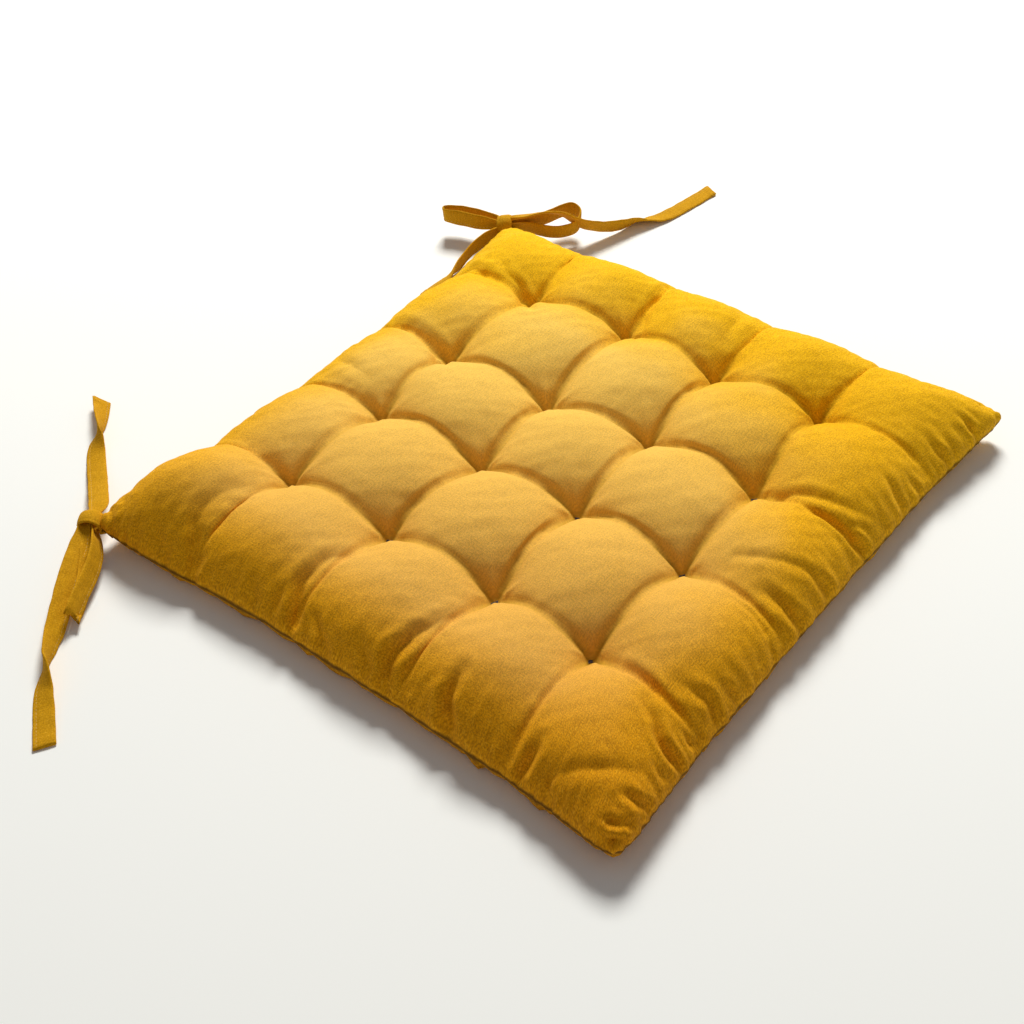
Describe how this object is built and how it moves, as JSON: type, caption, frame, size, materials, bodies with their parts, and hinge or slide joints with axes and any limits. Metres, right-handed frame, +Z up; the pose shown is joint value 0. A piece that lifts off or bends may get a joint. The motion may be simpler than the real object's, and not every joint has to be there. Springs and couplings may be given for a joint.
{
  "type": "tufted chair pad with ties",
  "caption": "Square tufted cotton chair pad, plump and drawn in at its sides, with a bow tie at each rear corner.",
  "frame": {"origin": "middle of the pad's underside, on the surface that it lies on", "axes": "+Z up through the pad's thickness, +Y towards the edge with the ties, +X towards the right tie as seen from the front edge"},
  "size_m": [0.675, 0.486, 0.05],
  "materials": {
    "cotton_cover": "plain woven cotton, matt, mustard yellow",
    "cotton_tie": "folded and topstitched woven cotton strip, matt, mustard yellow"
  },
  "bodies": {
    "root": {"pad": "cotton_cover", "tie_left": "cotton_tie", "tie_right": "cotton_tie"}
  },
  "joints": []
}
